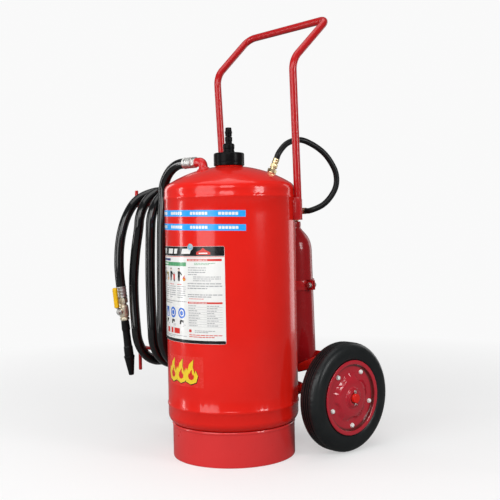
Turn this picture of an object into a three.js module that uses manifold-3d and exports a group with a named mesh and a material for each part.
// A wheeled dry-powder fire extinguisher with an outside gas bottle, a hose on a rack and a pull handle.
// Millimetres, +Z up. The label side faces -Y, the axle lies along X at +Y, the hose rack is on the -X side.
import * as THREE from 'three';
import * as BufferGeometryUtils from 'three/addons/utils/BufferGeometryUtils.js';
import Module from 'manifold-3d';

const wasm = await Module();
wasm.setup();

// ---- driving dimensions, all measured from the vessel's axis and the floor ----
const GAP = 0.35;                 // clearance between touching pieces
const ROUND = 36;                 // facets round a large circle
const SMALL = 12;                 // facets round a small circle

const vessel = { r: 175, wall: 3.5, skirtTop: 704.5, skirtLow: 114, knuckle: 25, crown: 310 };
const foot = { r: 164, wall: 3 };
const neck = { rIn: 25, rOut: 33, top: 796 };
const cap = { r: 41, low: 773, top: 807, plate: 7 };
const relief = { r: 15.5, barrel: 9, shoulder: 831, top: 850, pullTop: 875,
  chamber: 6, chamberLow: 812, chamberTop: 846 };
const outlet = { x: -46, y: -52, z: 785, r: 12.5, bore: 9.5, bend: 15, run: 23,
  turn: THREE.MathUtils.degToRad(187) };
const dipTube = { rOut: 9, rIn: 7, low: 78 };
const ferrule = { r: 14.9, length: 32 };
const hose = { r: 14, straight: 8, drop: 82, coilR: 101.8, coilTop: 614.8, coilLow: 316.2, turns: 3, bow: [6, 20, 0],
  yaw: THREE.MathUtils.degToRad(12), sides: 8 };
// Where each quarter turn of the coil crosses the rack's middle plane.
const coilX = [-207.6, -222, -240, -251, -253, -270, -288, -310, -335, -327, -329, -338];
const rack = { bar: 5, base: -180.5, reach: -365, half: 54, high: 674, tipHigh: 721, low: 257, tipLow: 188,
  bend: 12 };
const handle = { r: 10, wall: 2, footX: 150.5, footY: 110, footZ: 628.5, kneeX: 156, kneeY: 92, kneeZ: 1042,
  topX: 161, topY: 221, topZ: 1165, kneeBend: 60, cornerBend: 26 };
const axle = { r: 12.5, y: 216, z: 148, half: 252, bracketX: 30, bracketThick: 8, bossR: 17.5 };
const wheel = { x: 206, r: 146.5, half: 32.5, shoulder: 20, seat: 90.2, boltCircle: 75.6, bolts: 5, boltPhase: 3 };
const hub = { rIn: 13.1, rOut: 25, inner: -38, outer: 36 };
const bottle = { y: 233, pivotZ: 617, tilt: THREE.MathUtils.degToRad(1.8), r: 52, wall: 4.5, low: -411, shoulder: -80,
  neckR: 22, neckLow: -10.5, neckTop: 3, bore: 10.5 };
const inlet = { x: 60, y: 97, boreR: 5.6, tubeR: 5, tubeBore: 3.4, tubeLow: 100 };
const gasHose = { r: 8, sides: 8 };
const valve = { x: -337, y: -134, z: 443, tilt: THREE.MathUtils.degToRad(6.5), face: THREE.MathUtils.degToRad(-71) };

// ---- small builders ----
const paint = (color, roughness, metalness) => new THREE.MeshStandardMaterial({ color, roughness, metalness });
const finishes = {
  vesselRed: () => paint(0xe0261c, 0.22, 0.1),
  frameRed: () => paint(0xb4191e, 0.32, 0.1),
  bottleRed: () => paint(0x96141a, 0.35, 0.1),
  rimRed: () => paint(0xaa2233, 0.4, 0.1),
  rubber: () => paint(0x161819, 0.6, 0),
  hoseBlack: () => paint(0x0d0e0f, 0.3, 0),
  capBlack: () => paint(0x101010, 0.35, 0),
  steel: () => paint(0xb9bcbf, 0.35, 1),
  brass: () => paint(0xb59545, 0.35, 1),
  yellow: () => paint(0xe6b40a, 0.45, 0),
};

function closed(geometry) {
  geometry.deleteAttribute('normal');
  geometry.deleteAttribute('uv');
  return BufferGeometryUtils.mergeVertices(geometry, 1e-4);
}

function solid(geometry) {
  const g = closed(geometry.clone());
  const index = Uint32Array.from(g.index.array);
  const p = g.attributes.position;
  let volume = 0;
  const [a, b, c] = [new THREE.Vector3(), new THREE.Vector3(), new THREE.Vector3()];
  for (let i = 0; i < index.length; i += 3) {
    a.fromBufferAttribute(p, index[i]);
    b.fromBufferAttribute(p, index[i + 1]);
    c.fromBufferAttribute(p, index[i + 2]);
    volume += a.dot(b.cross(c));
  }
  if (volume < 0) {
    for (let i = 0; i < index.length; i += 3) [index[i], index[i + 1]] = [index[i + 1], index[i]];
  }
  const mesh = new wasm.Mesh({ numProp: 3, vertProperties: Float32Array.from(p.array), triVerts: index });
  return new wasm.Manifold(mesh);
}

function surface(manifold) {
  const mesh = manifold.getMesh();
  const g = new THREE.BufferGeometry();
  g.setAttribute('position', new THREE.BufferAttribute(Float32Array.from(mesh.vertProperties), mesh.numProp));
  g.setIndex(new THREE.BufferAttribute(Uint32Array.from(mesh.triVerts), 1));
  return g;
}

const join = (...geometries) => surface(geometries.map(solid).reduce((sum, next) => sum.add(next)));
const cut = (geometry, ...tools) => surface(
  tools.map(solid).reduce((rest, tool) => rest.subtract(tool), solid(geometry)));

function lathe(profile, facets = SMALL) {
  return new THREE.LatheGeometry(profile.map(([r, z]) => new THREE.Vector2(r, z)), facets).rotateX(Math.PI / 2);
}

// A turned piece: a rod where rIn is 0, else a ring.
function turned(rIn, rOut, low, high, facets = SMALL) {
  const wall = [[rIn, low], [rOut, low], [rOut, high], [rIn, high]];
  return lathe(rIn > 0 ? [...wall, wall[0]] : wall, facets);
}

function hexagon(flats, low, high) {
  return new THREE.CylinderGeometry(flats / Math.sqrt(3), flats / Math.sqrt(3), high - low, 6)
    .rotateX(Math.PI / 2).translate(0, 0, (low + high) / 2);
}

function block(width, depth, height, x, y, z) {
  return new THREE.BoxGeometry(width, depth, height).translate(x, y, z);
}

const arc = (cx, cz, r, from, to, steps) => Array.from({ length: steps + 1 }, (_, i) => {
  const t = from + (to - from) * i / steps;
  return [cx + r * Math.cos(t), cz + r * Math.sin(t)];
});

// A path that is exactly its stations, so a straight run costs one step.
class StationPath extends THREE.Curve {
  constructor(stations) {
    super();
    this.stations = stations;
  }

  getPoint(t, target = new THREE.Vector3()) {
    const last = this.stations.length - 1;
    const i = Math.min(Math.floor(t * last + 1e-9), last - 1);
    return target.lerpVectors(this.stations[i], this.stations[i + 1], t * last - i);
  }

  getPointAt(u, target) {
    return this.getPoint(u, target);
  }

  getTangentAt(u, target = new THREE.Vector3()) {
    const last = this.stations.length - 1;
    const i = Math.round(u * last);
    const before = this.stations[Math.max(i - 1, 0)];
    const after = this.stations[Math.min(i + 1, last)];
    const here = this.stations[i];
    const back = here.clone().sub(before).normalize();
    const ahead = after.clone().sub(here).normalize();
    return target.copy(back).add(ahead).normalize();
  }
}

function sweep(stations, r, sides = 12) {
  const section = new THREE.Shape();
  for (let i = 0; i < sides; i++) {
    const t = 2 * Math.PI * i / sides;
    section[i ? 'lineTo' : 'moveTo'](r * Math.cos(t), r * Math.sin(t));
  }
  section.closePath();
  return new THREE.ExtrudeGeometry(section, {
    steps: stations.length - 1, extrudePath: new StationPath(stations), curveSegments: 1,
  });
}

// Corner points joined by straight runs, with each inner corner rounded to its radius.
function rounded(corners, radii, steps = 4) {
  const out = [corners[0].clone()];
  for (let i = 1; i < corners.length - 1; i++) {
    const here = corners[i];
    const back = corners[i - 1].clone().sub(here).normalize();
    const ahead = corners[i + 1].clone().sub(here).normalize();
    const half = back.angleTo(ahead) / 2;
    const radius = Array.isArray(radii) ? radii[i - 1] : radii;
    const centre = here.clone().addScaledVector(back.clone().add(ahead).normalize(), radius / Math.sin(half));
    const from = here.clone().addScaledVector(back, radius / Math.tan(half)).sub(centre);
    const to = here.clone().addScaledVector(ahead, radius / Math.tan(half)).sub(centre);
    const axisOfBend = from.clone().cross(to).normalize();
    const angle = from.angleTo(to);
    for (let k = 0; k <= steps; k++) {
      out.push(from.clone().applyAxisAngle(axisOfBend, angle * k / steps).add(centre));
    }
  }
  out.push(corners.at(-1).clone());
  return out;
}

const at = (x, y, z) => new THREE.Vector3(x, y, z);

const model = new THREE.Group();

function place(group, name, geometry, finish) {
  const mesh = new THREE.Mesh(surface(solid(geometry)), finishes[finish]());
  mesh.name = name;
  group.add(mesh);
  return mesh;
}

// ---- pressure vessel ----
const crownHeight = Math.sqrt((vessel.crown - vessel.knuckle) ** 2 - (vessel.r - vessel.knuckle) ** 2);
const crownAngle = Math.asin((vessel.r - vessel.knuckle) / (vessel.crown - vessel.knuckle));
const crownZ = vessel.skirtTop - crownHeight;
const domeZ = (r, inset = 0) => crownZ + Math.sqrt((vessel.crown - inset) ** 2 - r ** 2);

// A domed end from its skirt to radius rEnd; side is 1 for the top, -1 for the bottom.
function head(skirt, side, inset, rEnd, steps) {
  const knuckle = arc(vessel.r - vessel.knuckle, skirt, vessel.knuckle - inset,
    0, side * (Math.PI / 2 - crownAngle), 3);
  const end = Math.asin(rEnd / (vessel.crown - inset));
  const crown = arc(0, skirt - side * crownHeight, vessel.crown - inset,
    side * (Math.PI / 2 - crownAngle), side * (Math.PI / 2 - end), steps);
  return [...knuckle, ...crown.slice(1)];
}

function vesselShell() {
  const t = vessel.wall;
  const mouth = neck.rIn - 1;
  const outside = [...head(vessel.skirtLow, -1, 0, 0, 4).reverse(), ...head(vessel.skirtTop, 1, 0, mouth, 4)];
  const inside = [...head(vessel.skirtLow, -1, t, 0, 3).reverse(), ...head(vessel.skirtTop, 1, t, mouth, 3)];
  inside.reverse();
  outside[0][0] = 0;
  inside.at(-1)[0] = 0;
  const shell = lathe([...outside, ...inside], ROUND);
  const dipPort = turned(0, dipTube.rOut + GAP, 700, 800).translate(outlet.x, outlet.y, 0);
  const gasPort = turned(0, inlet.tubeR + GAP, -40, 40).applyMatrix4(inletFrame());
  return cut(shell, dipPort, gasPort);
}

// The gas inlet stands square to the dome at its own place.
function inletFrame() {
  const r = Math.hypot(inlet.x, inlet.y);
  const normal = at(inlet.x, inlet.y, domeZ(r) - crownZ).normalize();
  return new THREE.Matrix4().compose(at(inlet.x, inlet.y, domeZ(r)),
    new THREE.Quaternion().setFromUnitVectors(at(0, 0, 1), normal), at(1, 1, 1));
}

const inletPoint = (s) => at(0, 0, s).applyMatrix4(inletFrame());

place(model, 'vessel_shell', vesselShell(), 'vesselRed');

const footReach = foot.r - foot.wall - vessel.r + vessel.knuckle;
const footTop = vessel.skirtLow - Math.sqrt(vessel.knuckle ** 2 - footReach ** 2) - 2 * GAP;
place(model, 'foot_ring', turned(foot.r - foot.wall, foot.r, 0, footTop, ROUND), 'vesselRed');
place(model, 'neck_ring', turned(neck.rIn, neck.rOut, domeZ(neck.rIn) + GAP, neck.top, 32), 'vesselRed');

// ---- outlet: dip tube, elbow and hose ----
place(model, 'dip_tube', turned(dipTube.rIn, dipTube.rOut, dipTube.low, outlet.z - outlet.bend, SMALL)
  .translate(outlet.x, outlet.y, 0), 'steel');

const outward = at(Math.cos(outlet.turn), Math.sin(outlet.turn), 0);
const elbowLow = domeZ(Math.hypot(outlet.x, outlet.y) - outlet.r) + GAP;
const elbowCorner = at(outlet.x, outlet.y, outlet.z);
const elbowEnd = elbowCorner.clone().addScaledVector(outward, outlet.run + outlet.bend);

function outletElbow() {
  const run = rounded([at(outlet.x, outlet.y, elbowLow), elbowCorner, elbowEnd], outlet.bend - 1);
  const through = rounded([at(outlet.x, outlet.y, elbowLow - 5), elbowCorner,
    elbowEnd.clone().addScaledVector(outward, 5)], outlet.bend - 1);
  return cut(sweep(run, outlet.r, 14), sweep(through, outlet.bore, 12));
}

place(model, 'outlet_elbow', outletElbow(), 'frameRed');

const rod = (from, to, r, sides = 12) => sweep([from, to], r, sides);
const ferruleFrom = elbowEnd.clone().addScaledVector(outward, GAP);
const ferruleTo = ferruleFrom.clone().addScaledVector(outward, ferrule.length);
place(model, 'hose_ferrule_inlet', rod(ferruleFrom, ferruleTo, ferrule.r), 'steel');

// The hose leaves its ferrule, bends down, makes its turns over the rack and hangs to the valve.
function hoseRoute() {
  const exit = ferruleTo.clone().addScaledVector(outward, GAP);
  const start = exit.clone().addScaledVector(outward, hose.straight);
  const route = [exit, start];
  const dropSteps = 6;
  for (let i = 1; i <= dropSteps; i++) {
    const t = Math.PI / 2 * i / dropSteps;
    route.push(start.clone().addScaledVector(outward, hose.drop * Math.sin(t))
      .add(at(0, 0, hose.drop * (Math.cos(t) - 1))));
  }
  route.push(at(-200, -82, 620), at(-195, -89, 520), at(-189, -95.5, 410));
  const along = [];
  const arcSteps = 10;
  for (let turn = 0; turn < hose.turns; turn++) {
    for (let i = 0; i <= arcSteps; i++) {
      const t = -Math.PI + Math.PI * i / arcSteps;
      along.push([turn + 0.25 * i / arcSteps, hose.coilR * Math.cos(t), hose.coilLow + hose.coilR * Math.sin(t)]);
    }
    along.push([turn + 0.375, hose.coilR, (hose.coilLow + hose.coilTop) / 2]);
    const lastTop = turn === hose.turns - 1 ? arcSteps / 2 : arcSteps;
    for (let i = 0; i <= lastTop; i++) {
      const t = Math.PI * i / arcSteps;
      const station = turn + 0.5 + 0.25 * i / arcSteps;
      along.push([station, hose.coilR * Math.cos(t), hose.coilTop + hose.coilR * Math.sin(t)]);
    }
    if (lastTop < arcSteps) break;
    for (const s of [0.25, 0.5, 0.75]) {
      along.push([turn + 0.75 + 0.25 * s, -hose.coilR, THREE.MathUtils.lerp(hose.coilTop, hose.coilLow, s)]);
    }
  }
  for (const [turn, out, z] of along) {
    const i = Math.min(Math.floor(turn * 4), coilX.length - 2);
    const part = turn * 4 - i;
    const bow = i % 4 === 3 ? hose.bow[Math.floor(turn)] * Math.sin(Math.PI * part) : 0;
    const x = THREE.MathUtils.lerp(coilX[i], coilX[i + 1], part) - bow;
    route.push(at(x - out * Math.sin(hose.yaw), out * Math.cos(hose.yaw), z));
  }
  route.push(at(-335, -41, 706), at(-336.5, -78, 686), at(-337, -106, 650), at(-337, -125, 605),
    at(-337, -135.5, 555), at(-337, -138.5, 505), at(-337, -137, 470),
    at(valve.x, valve.y - 8 * Math.sin(valve.tilt), valve.z + 8), at(valve.x, valve.y, valve.z + GAP));
  return route;
}

place(model, 'hose', sweep(hoseRoute(), hose.r, hose.sides), 'hoseBlack');

// ---- hose rack: two bent bars on the vessel's side ----
function rackBar(level, tip) {
  const { base, reach, half } = rack;
  const corners = [at(reach, -half, tip), at(reach, -half, level), at(base, -half, level),
    at(base, half, level), at(reach, half, level), at(reach, half, tip)];
  return sweep(rounded(corners, rack.bend, 3), rack.bar, 8);
}

place(model, 'rack_upper', rackBar(rack.high, rack.tipHigh), 'frameRed');
place(model, 'rack_lower', rackBar(rack.low, rack.tipLow), 'frameRed');

// ---- discharge valve and nozzle on the hose's end ----
const tool = new THREE.Group();
tool.position.set(valve.x, valve.y, valve.z);
tool.rotation.set(valve.tilt, 0, 0);
model.add(tool);
const turnedTool = new THREE.Group();
turnedTool.rotation.z = valve.face;
tool.add(turnedTool);

const tap = { low: -100, high: -33, r: 14.2, bore: 7, ball: 11, z: -72, stemR: 4, stemEnd: 25, leverIn: 20 };

place(turnedTool, 'hose_ferrule_tail', turned(0, ferrule.r, -ferrule.length, 0), 'steel');

function tapBody() {
  const barrel = join(turned(0, 12, tap.low, tap.high), hexagon(26, tap.high - 16, tap.high),
    turned(0, tap.r, tap.z - 17, tap.z + 16), rod(at(0, 0, tap.z), at(18, 0, tap.z), 8));
  return cut(barrel, turned(0, tap.bore, tap.low - 5, tap.high + 5),
    new THREE.SphereGeometry(tap.ball + GAP, 12, 7).translate(0, 0, tap.z),
    rod(at(0, 0, tap.z), at(30, 0, tap.z), tap.stemR + GAP));
}

function tapBall() {
  const ball = new THREE.SphereGeometry(tap.ball - 0.5, 12, 7).translate(0, 0, tap.z);
  const stem = rod(at(tap.ball - 3, 0, tap.z), at(tap.leverIn - GAP, 0, tap.z), tap.stemR);
  const waterway = rod(at(0, 0, tap.z - 20), at(0, 0, tap.z + 20), tap.bore);
  return cut(join(ball, stem), waterway);
}

// The lever is a bent strip: a foot on the stem, a jog outwards and a blade inside the sleeve.
const strip = { thick: 3, width: 9, footX: 21.5, footLow: -8, footHigh: 14, x: 29, top: -4 };
const sleeve = { high: 0, width: 14.5, depth: 9 };

function tapLever() {
  const { thick, width, footX, footLow, footHigh, x, top } = strip;
  const plate = block(thick, width + 4, footHigh - footLow, footX, 0, tap.z + (footLow + footHigh) / 2);
  const boss = rod(at(tap.leverIn, 0, tap.z), at(tap.stemEnd + 3, 0, tap.z), 6);
  const jogX = [footX - thick / 2, x + thick / 2];
  const jog = block(jogX[1] - jogX[0], width, thick, (jogX[0] + jogX[1]) / 2, 0, tap.z + footHigh - thick / 2);
  const bladeLow = tap.z + footHigh - thick;
  return join(plate, boss, jog, block(thick, width, top - bladeLow, x, 0, (top + bladeLow) / 2));
}

function leverSleeve() {
  const low = tap.z + strip.footHigh + GAP;
  const slotHigh = strip.top + GAP;
  const slot = block(strip.thick + 2 * GAP, strip.width + 2 * GAP, slotHigh - low + 10,
    strip.x, 0, (slotHigh + low - 10) / 2);
  return cut(block(sleeve.depth, sleeve.width, sleeve.high - low, strip.x, 0, (sleeve.high + low) / 2), slot);
}

place(turnedTool, 'ball_valve_body', tapBody(), 'brass');
place(turnedTool, 'valve_ball', tapBall(), 'steel');
place(turnedTool, 'valve_lever', tapLever(), 'steel');
place(turnedTool, 'lever_sleeve', leverSleeve(), 'yellow');

const nozzle = { bore: 4, joint: -204, end: -262 };

function nozzlePipe() {
  const top = tap.low - GAP;
  return lathe([[nozzle.bore, nozzle.joint], [13.4, nozzle.joint], [13, -178], [11.4, -175], [10.8, -131],
    [12.4, -125], [11.6, top], [7, top], [5.6, -134], [nozzle.bore, nozzle.joint]]);
}

function nozzleTip() {
  const top = nozzle.joint - GAP;
  return lathe([[nozzle.bore, nozzle.end], [7.4, nozzle.end], [14.6, -211], [15.4, -209], [15.4, top],
    [nozzle.bore, top], [nozzle.bore, nozzle.end]]);
}

place(turnedTool, 'nozzle_pipe', nozzlePipe(), 'hoseBlack');
place(turnedTool, 'nozzle_tip', nozzleTip(), 'hoseBlack');

// ---- filler cap and relief valve ----
function fillerCap() {
  const skirt = turned(neck.rOut + GAP, cap.r, cap.low, cap.top, 32);
  const plate = turned(7, cap.r, cap.top - cap.plate, cap.top, 32);
  return join(skirt, plate);
}

place(model, 'cap_gasket', turned(neck.rIn, neck.rOut, neck.top + GAP, cap.top - cap.plate - GAP, 32), 'rubber');
place(model, 'filler_cap', fillerCap(), 'capBlack');

function reliefBody() {
  const low = cap.top - cap.plate - 2;
  const outside = [[0, low], [6.6, low], [6.6, cap.top + GAP], [relief.r, cap.top + GAP],
    [relief.r, relief.shoulder - 3], [relief.barrel + 1, relief.shoulder], [relief.barrel, relief.shoulder + 2],
    [relief.barrel, relief.top], [0, relief.top]];
  return cut(lathe(outside), turned(0, relief.chamber, relief.chamberLow, relief.chamberTop),
    turned(0, 4, relief.chamberLow - 30, relief.chamberLow + 1),
    turned(0, 2.4, relief.chamberTop - 1, relief.top + 5, 12));
}

function reliefPull() {
  const poppet = [[0, relief.chamberLow + GAP], [5.4, relief.chamberLow + GAP], [5.4, relief.chamberLow + 4],
    [2, relief.chamberLow + 4.5], [2, relief.top + 1.5]];
  const knob = [[8.4, relief.top + 1.5], [9, relief.top + 3], [9, relief.top + 8], [9.8, relief.top + 10],
    [9.8, relief.top + 14], [8.6, relief.top + 16], [8, relief.pullTop - 1.5], [6.5, relief.pullTop]];
  return lathe([...poppet, ...knob, [0, relief.pullTop]]);
}

function reliefSpring() {
  const turns = 4;
  const steps = turns * 8;
  const [low, high] = [relief.chamberLow + 5.6, relief.chamberTop - 1.2];
  const coil = Array.from({ length: steps + 1 }, (_, i) => {
    const t = 2 * Math.PI * turns * i / steps;
    return at(4.2 * Math.cos(t), 4.2 * Math.sin(t), low + (high - low) * i / steps);
  });
  return sweep(coil, 0.8, 5);
}

place(model, 'relief_valve_body', reliefBody(), 'capBlack');
place(model, 'relief_pull', reliefPull(), 'capBlack');
place(model, 'relief_spring', reliefSpring(), 'steel');

// ---- pull handle ----
function handleTube() {
  const { footX, footY, footZ, kneeX, kneeY, kneeZ, topX, topY, topZ } = handle;
  const corners = [at(-footX, footY, footZ), at(-kneeX, kneeY, kneeZ), at(-topX, topY, topZ),
    at(topX, topY, topZ), at(kneeX, kneeY, kneeZ), at(footX, footY, footZ)];
  const stations = rounded(corners, [handle.kneeBend, handle.cornerBend, handle.cornerBend, handle.kneeBend]);
  const longer = stations.map((s) => s.clone());
  longer[0].add(at(0, 0, -5));
  longer.at(-1).add(at(0, 0, -5));
  return cut(sweep(stations, handle.r, 10), sweep(longer, handle.r - handle.wall, 6));
}

place(model, 'handle_tube', handleTube(), 'frameRed');

// Two cheeks and a sole that hold each leg's foot against the vessel.
function handleBracket() {
  const inner = Math.hypot(handle.footX, handle.footY) - handle.r - GAP;
  const depth = 18;
  const clear = handle.r + 3.2;
  const cheek = (side) => block(depth, 3, 58, inner + depth / 2, side * (clear + 1.5), handle.footZ + 26);
  const sole = block(depth, 2 * clear + 6, 3, inner + depth / 2, 0, handle.footZ - 2.8);
  return join(cheek(1), cheek(-1), sole);
}

for (const [side, name] of [[-1, 'left'], [1, 'right']]) {
  const angle = Math.atan2(handle.footY, side * handle.footX);
  place(model, `handle_bracket_${name}`, handleBracket(), 'frameRed').rotation.z = angle;
}

// ---- gas bottle at the back, leaning a little in its tray ----
const rear = new THREE.Group();
rear.position.set(0, bottle.y, bottle.pivotZ);
rear.rotation.x = bottle.tilt;
model.add(rear);

const knob = { low: 84, rimZ: 89, r: 29, rim: 4, hub: 7.5, high: 104, spindle: 4.5 };
const valveBody = { r: 13, high: 66, bonnet: 9, bonnetTop: 76, side: 33, sideR: 8.5, sideEnd: 24 };

function gasBottle() {
  const { r, wall, low, shoulder, neckR, neckLow, neckTop, bore } = bottle;
  const outside = [[0, low + 8], [r - 22, low], [r - 8, low], [r - 2, low + 4], [r, low + 12], [r, shoulder],
    [r - 2, shoulder + 18], [r - 7, shoulder + 33], [r - 14, shoulder + 45], [r - 22, shoulder + 55],
    [neckR + 1, neckLow - 6], [neckR, neckLow], [neckR, neckTop]];
  const inside = [[bore, neckTop], [bore, neckLow - 13], [r - 27, shoulder + 50], [r - 12, shoulder + 30],
    [r - wall - 1, shoulder + 12], [r - wall, shoulder - 4], [r - wall, low + 14], [0, low + 8 + wall]];
  return lathe([...outside, ...inside], 24);
}

function bottleValve() {
  const [plug, seat] = [bottle.bore - GAP, bottle.neckTop + GAP];
  const stack = lathe([[0, -20], [plug, -20], [plug, seat], [17, seat], [17, 16], [valveBody.r, 18],
    [valveBody.r, valveBody.high - 8], [valveBody.bonnet, valveBody.high], [valveBody.bonnet, valveBody.bonnetTop],
    [0, valveBody.bonnetTop]]);
  const side = rod(at(0, 0, valveBody.side), at(valveBody.sideEnd, 0, valveBody.side), valveBody.sideR);
  const passage = rod(at(0, 0, valveBody.side), at(valveBody.sideEnd + 5, 0, valveBody.side), 3, 10);
  const feed = turned(0, 3, -25, valveBody.side, 10);
  const well = turned(0, knob.spindle + GAP, 56, valveBody.bonnetTop + 5, 16);
  return cut(join(stack, side), passage, feed, well);
}

function gasHandwheel() {
  const spindle = turned(0, knob.spindle, 58, knob.low + 1, 16);
  const hubPart = turned(0, knob.hub, knob.low, knob.high, 16);
  const plate = turned(knob.hub - 1, knob.r - knob.rim, knob.rimZ - 1.5, knob.rimZ + 1.5, 20);
  const rim = new THREE.TorusGeometry(knob.r - knob.rim, knob.rim, 6, 20).translate(0, 0, knob.rimZ);
  const windows = Array.from({ length: 4 }, (_, i) => turned(0, 4, knob.rimZ - 5, knob.rimZ + 5, 8)
    .translate(14, 0, 0).rotateZ(Math.PI / 4 + Math.PI / 2 * i));
  return cut(join(spindle, hubPart, plate, rim), ...windows);
}

const tray = { half: 57, thick: 4, low: -417, frontY: -53, backY: 60, lipFront: 22, lipBack: 42 };

function bottleTray() {
  const { half, thick, low, frontY, backY, lipFront, lipBack } = tray;
  const base = block(2 * half, backY - frontY, thick, 0, (frontY + backY) / 2, low + thick / 2);
  const lipShape = new THREE.Shape([[frontY, low], [backY, low], [backY, low + lipBack], [frontY, low + lipFront]]
    .map(([y, z]) => new THREE.Vector2(y, z)));
  const lip = (x) => new THREE.ExtrudeGeometry(lipShape, { depth: thick, bevelEnabled: false })
    .rotateX(Math.PI / 2).rotateZ(Math.PI / 2).translate(x, 0, 0);
  const back = block(2 * half, thick, lipBack, 0, backY - thick / 2, low + lipBack / 2);
  return join(base, lip(-half), lip(half - thick), back);
}

const clamp = { z: -190, height: 27, thick: 3.5, earIn: 53, earOut: 76, earY: 2, boltX: 66, boltR: 4 };

// One half of the bottle clamp: a half round band with a flat ear on each side.
function clampHalf(side) {
  const [rIn, rOut] = [bottle.r + 0.6, bottle.r + 0.6 + clamp.thick];
  const ring = turned(rIn, rOut, clamp.z, clamp.z + clamp.height, 36);
  const away = block(200, 200, 200, 0, -side * 100 + side * clamp.earY, clamp.z);
  const half = cut(ring, away);
  const ear = (x) => {
    const plate = block(clamp.earOut - clamp.earIn, clamp.thick, clamp.height, x * (clamp.earIn + clamp.earOut) / 2,
      side * (clamp.earY + clamp.thick / 2), clamp.z + clamp.height / 2);
    return cut(plate, turned(0, rIn, clamp.z - 5, clamp.z + clamp.height + 5, 36));
  };
  const holeZ = clamp.z + clamp.height / 2;
  const hole = (x) => rod(at(x * clamp.boltX, -60, holeZ), at(x * clamp.boltX, 60, holeZ), clamp.boltR + GAP);
  return cut(join(half, ear(1), ear(-1)), hole(1), hole(-1));
}

// The saddle is the clamp half on the vessel's side, with a web that reaches the vessel wall.
function bottleSaddle() {
  const web = block(60, 10, clamp.height, 0, -(bottle.r + 3), clamp.z + clamp.height / 2);
  return cut(join(clampHalf(-1), web), turned(0, bottle.r + 0.6, clamp.z - 5, clamp.z + clamp.height + 5, 36),
    block(200, 20, 60, 0, -(bottle.y - vessel.r) + 1.6 - 10 + Math.tan(bottle.tilt) * clamp.z, clamp.z));
}

function clampBolt(x) {
  const z = clamp.z + clamp.height / 2;
  const reach = clamp.earY + clamp.thick + GAP;
  const end = (y, depth) => new THREE.CylinderGeometry(7.5, 7.5, depth, 6).translate(x, y + depth / 2, z);
  const shank = rod(at(x, -reach - 5, z), at(x, reach + 9, z), clamp.boltR, 12);
  return join(shank, end(reach, 6.5), end(-reach - 5.5, 5.5));
}

place(rear, 'gas_bottle', gasBottle(), 'bottleRed');
place(rear, 'bottle_valve_body', bottleValve(), 'brass');
place(rear, 'gas_handwheel', gasHandwheel(), 'capBlack');
place(rear, 'bottle_tray', bottleTray(), 'frameRed');
place(rear, 'bottle_saddle', bottleSaddle(), 'frameRed');
place(rear, 'bottle_strap', clampHalf(1), 'frameRed');
place(rear, 'strap_bolt_left', clampBolt(-clamp.boltX), 'steel');
place(rear, 'strap_bolt_right', clampBolt(clamp.boltX), 'steel');

// ---- gas line from the bottle valve to the dome ----
const rearPoint = (x, y, z) => at(x, y, z).applyEuler(rear.rotation).add(rear.position);
const bottleFitting = { nut: 12, length: 32 };
const gasFrom = rearPoint(valveBody.sideEnd + GAP, 0, valveBody.side);
const gasNutEnd = gasFrom.clone().add(at(bottleFitting.nut, 0, 0));
const gasFitEnd = gasFrom.clone().add(at(bottleFitting.length, 0, 0));
place(model, 'gas_fitting_bottle', join(sweep([gasFrom, gasNutEnd], 11.5, 6), rod(gasFrom, gasFitEnd, 8.8)), 'brass');

function inletAdaptor() {
  const stack = join(turned(0, 11.5, 0.6, 5), hexagon(22, 4, 13), turned(0, 7.5, 12, 17));
  return cut(stack, turned(0, inlet.boreR, -5, 25));
}

place(model, 'gas_inlet_adaptor', inletAdaptor().applyMatrix4(inletFrame()), 'brass');

const domeFitting = { from: 17.4, nut: 28, to: 44 };
place(model, 'gas_fitting_dome', join(hexagon(20, domeFitting.from, domeFitting.nut),
  turned(0, 8.8, domeFitting.from, domeFitting.to)).applyMatrix4(inletFrame()), 'brass');

const gasTubeKnee = inletPoint(-22);
const gasTube = rounded([inletPoint(12), gasTubeKnee, at(gasTubeKnee.x, gasTubeKnee.y, inlet.tubeLow)], 30, 4);
const gasTubeBore = gasTube.map((s) => s.clone());
gasTubeBore[0] = inletPoint(20);
gasTubeBore.at(-1).z -= 10;
place(model, 'gas_inlet_tube', cut(sweep(gasTube, inlet.tubeR, 12), sweep(gasTubeBore, inlet.tubeBore, 8)), 'steel');

function gasHoseRoute() {
  const end = (reach) => gasFitEnd.clone().add(at(reach, 0, 0));
  const guide = new THREE.CatmullRomCurve3([inletPoint(domeFitting.to + GAP), inletPoint(domeFitting.to + 14),
    at(73, 147, 834), at(80, 190, 845), at(91, 221, 835), at(104, 255, 812), at(113, 276, 785), at(119, 290, 753),
    at(118, 291, 719), at(109, 279, 689), at(95, 259, 665), end(14), end(1)], false, 'centripetal');
  return guide.getSpacedPoints(34);
}

place(model, 'gas_hose', sweep(gasHoseRoute(), gasHose.r, gasHose.sides), 'hoseBlack');

// ---- axle and its two hangers on the vessel's back ----
place(model, 'axle', sweep([at(-axle.half, axle.y, axle.z), at(axle.half, axle.y, axle.z)], axle.r, 24), 'frameRed');

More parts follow.
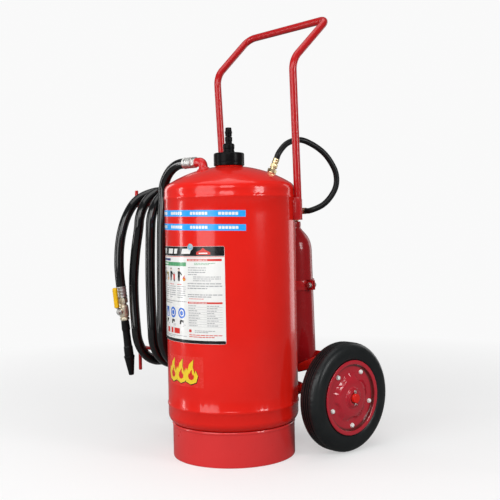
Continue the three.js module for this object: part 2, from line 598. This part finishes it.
function axleHanger() {
  const back = Math.sqrt(vessel.r ** 2 - (axle.bracketX - axle.bracketThick / 2) ** 2) + GAP;
  const round = Array.from({ length: 13 }, (_, i) => {
    const t = -Math.PI / 2 + Math.PI * i / 12;
    return new THREE.Vector2(axle.y + axle.bossR * Math.cos(t), axle.z + axle.bossR * Math.sin(t));
  });
  const [lowEnd, highEnd] = [new THREE.Vector2(back, axle.z - 30), new THREE.Vector2(back, axle.z + 62)];
  const outline = new THREE.Shape([lowEnd, ...round, highEnd]);
  const hole = new THREE.Path().absarc(axle.y, axle.z, axle.r + GAP, 0, 2 * Math.PI);
  outline.holes.push(hole);
  return new THREE.ExtrudeGeometry(outline, { depth: axle.bracketThick, bevelEnabled: false, curveSegments: 12 })
    .rotateX(Math.PI / 2).rotateZ(Math.PI / 2).translate(-axle.bracketThick / 2, 0, 0);
}

for (const [side, name] of [[-1, 'left'], [1, 'right']]) {
  place(model, `axle_hanger_${name}`, axleHanger(), 'frameRed').position.x = side * axle.bracketX;
}

// ---- wheels: x runs out from the wheel's middle, the outer face is at +x ----
function tyre() {
  const { half, r, shoulder, seat } = wheel;
  const side = [[seat, 26.6], [100.6, 26.6], [103, half - 2], [r - shoulder - 4, half]];
  const round = arc(r - shoulder, half - shoulder, shoulder, Math.PI / 2 - 0.15, 0, 2);
  const outer = [...side, ...round];
  const inner = outer.map(([radius, x]) => [radius, -x]).reverse();
  return lathe([...outer, ...inner, outer[0]], 28);
}

function rimOuter() {
  const inner = hub.rOut + GAP;
  return lathe([[inner, 32.4], [48, 31], [65, 22.3], [84, 22.3], [88.5, 29], [100, 29.6],
    [100, 27.2], [89, 27.2], [88.6, 19.6], [64, 19.6], [47, 28], [inner, 29.4], [inner, 32.4]], 24);
}

function rimInner() {
  return lathe([[hub.rOut + GAP, 16], [86, 16], [86, -29.6], [100, -29.6], [100, -27], [89, -27],
    [89, 19.2], [hub.rOut + GAP, 19.2], [hub.rOut + GAP, 16]], 24);
}

const boltAngle = (i) => THREE.MathUtils.degToRad(wheel.boltPhase + 360 / wheel.bolts * i);
const boltPlace = (geometry, i) => geometry.translate(wheel.boltCircle, 0, 0).rotateZ(boltAngle(i));
const boltHoles = () => Array.from({ length: wheel.bolts }, (_, i) => boltPlace(turned(0, 4.6, 0, 40, 6), i));

function wheelBolt() {
  return join(turned(0, 3.8, 8, 24, 6), hexagon(11, 22.7, 27.4), hexagon(13, 9, 15.6));
}

function wheelHub() {
  return lathe([[hub.rIn, hub.inner], [hub.rOut - 3, hub.inner], [hub.rOut, hub.inner + 3], [hub.rOut, hub.outer - 2],
    [hub.rOut - 2, hub.outer], [hub.rIn, hub.outer], [hub.rIn, hub.inner]], 24);
}

for (const [side, name] of [[-1, 'left'], [1, 'right']]) {
  const group = new THREE.Group();
  group.position.set(side * wheel.x, axle.y, axle.z);
  group.rotation.y = side * Math.PI / 2;
  model.add(group);
  place(group, `tyre_${name}`, tyre(), 'rubber');
  place(group, `rim_outer_${name}`, cut(rimOuter(), ...boltHoles()), 'rimRed');
  place(group, `rim_inner_${name}`, cut(rimInner(), ...boltHoles()), 'rimRed');
  place(group, `wheel_hub_${name}`, wheelHub(), 'rimRed');
  for (let i = 0; i < wheel.bolts; i++) place(group, `rim_bolt_${name}_${i + 1}`, boltPlace(wheelBolt(), i), 'steel');
  const pinX = side * (wheel.x + hub.outer + 4.5);
  const pin = rod(at(pinX, axle.y, axle.z - 19), at(pinX, axle.y, axle.z + 19), 2, 8);
  place(model, `split_pin_${name}`, pin, 'steel');
}

// The axle is drilled for its split pins after they are placed.
const drilled = model.getObjectByName('axle');
drilled.geometry = cut(drilled.geometry, ...[-1, 1].map((side) => {
  const x = side * (wheel.x + hub.outer + 4.5);
  return rod(at(x, axle.y, axle.z - 30), at(x, axle.y, axle.z + 30), 2 + GAP, 8);
}));

// The origin is the middle of the base of everything but the hose and what hangs on it.
const low = at(rack.reach - rack.bar, -vessel.r, 0);
const high = at(axle.half, axle.y + wheel.r, 0);
model.position.set(-(low.x + high.x) / 2, -(low.y + high.y) / 2, 0);
model.updateMatrixWorld(true);

export default model;
